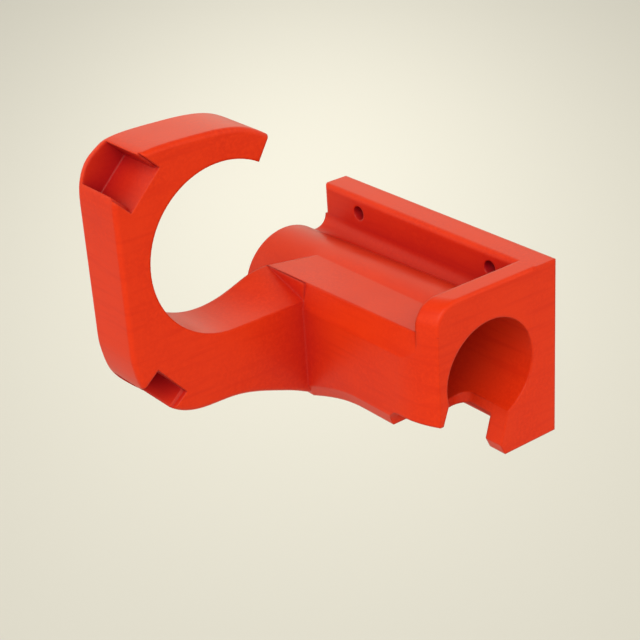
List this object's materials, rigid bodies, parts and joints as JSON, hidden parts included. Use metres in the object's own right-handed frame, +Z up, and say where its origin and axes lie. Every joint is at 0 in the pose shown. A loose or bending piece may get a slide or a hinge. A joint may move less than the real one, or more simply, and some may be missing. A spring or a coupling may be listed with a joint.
{
  "type": "pressure washer holder",
  "caption": "Moulded wall holder with an open hook for a hose and a tapered socket, notched below, for a spray gun or lance.",
  "frame": {"origin": "centre of the plate's flat wall face", "axes": "+X along the wall towards the socket's mouth, +Y into the wall, +Z up"},
  "size_m": [0.1346, 0.1545, 0.1441],
  "materials": {
    "red_plastic": "satin moulded orange-red"
  },
  "bodies": {
    "root": {"holder": "red_plastic"}
  },
  "joints": []
}
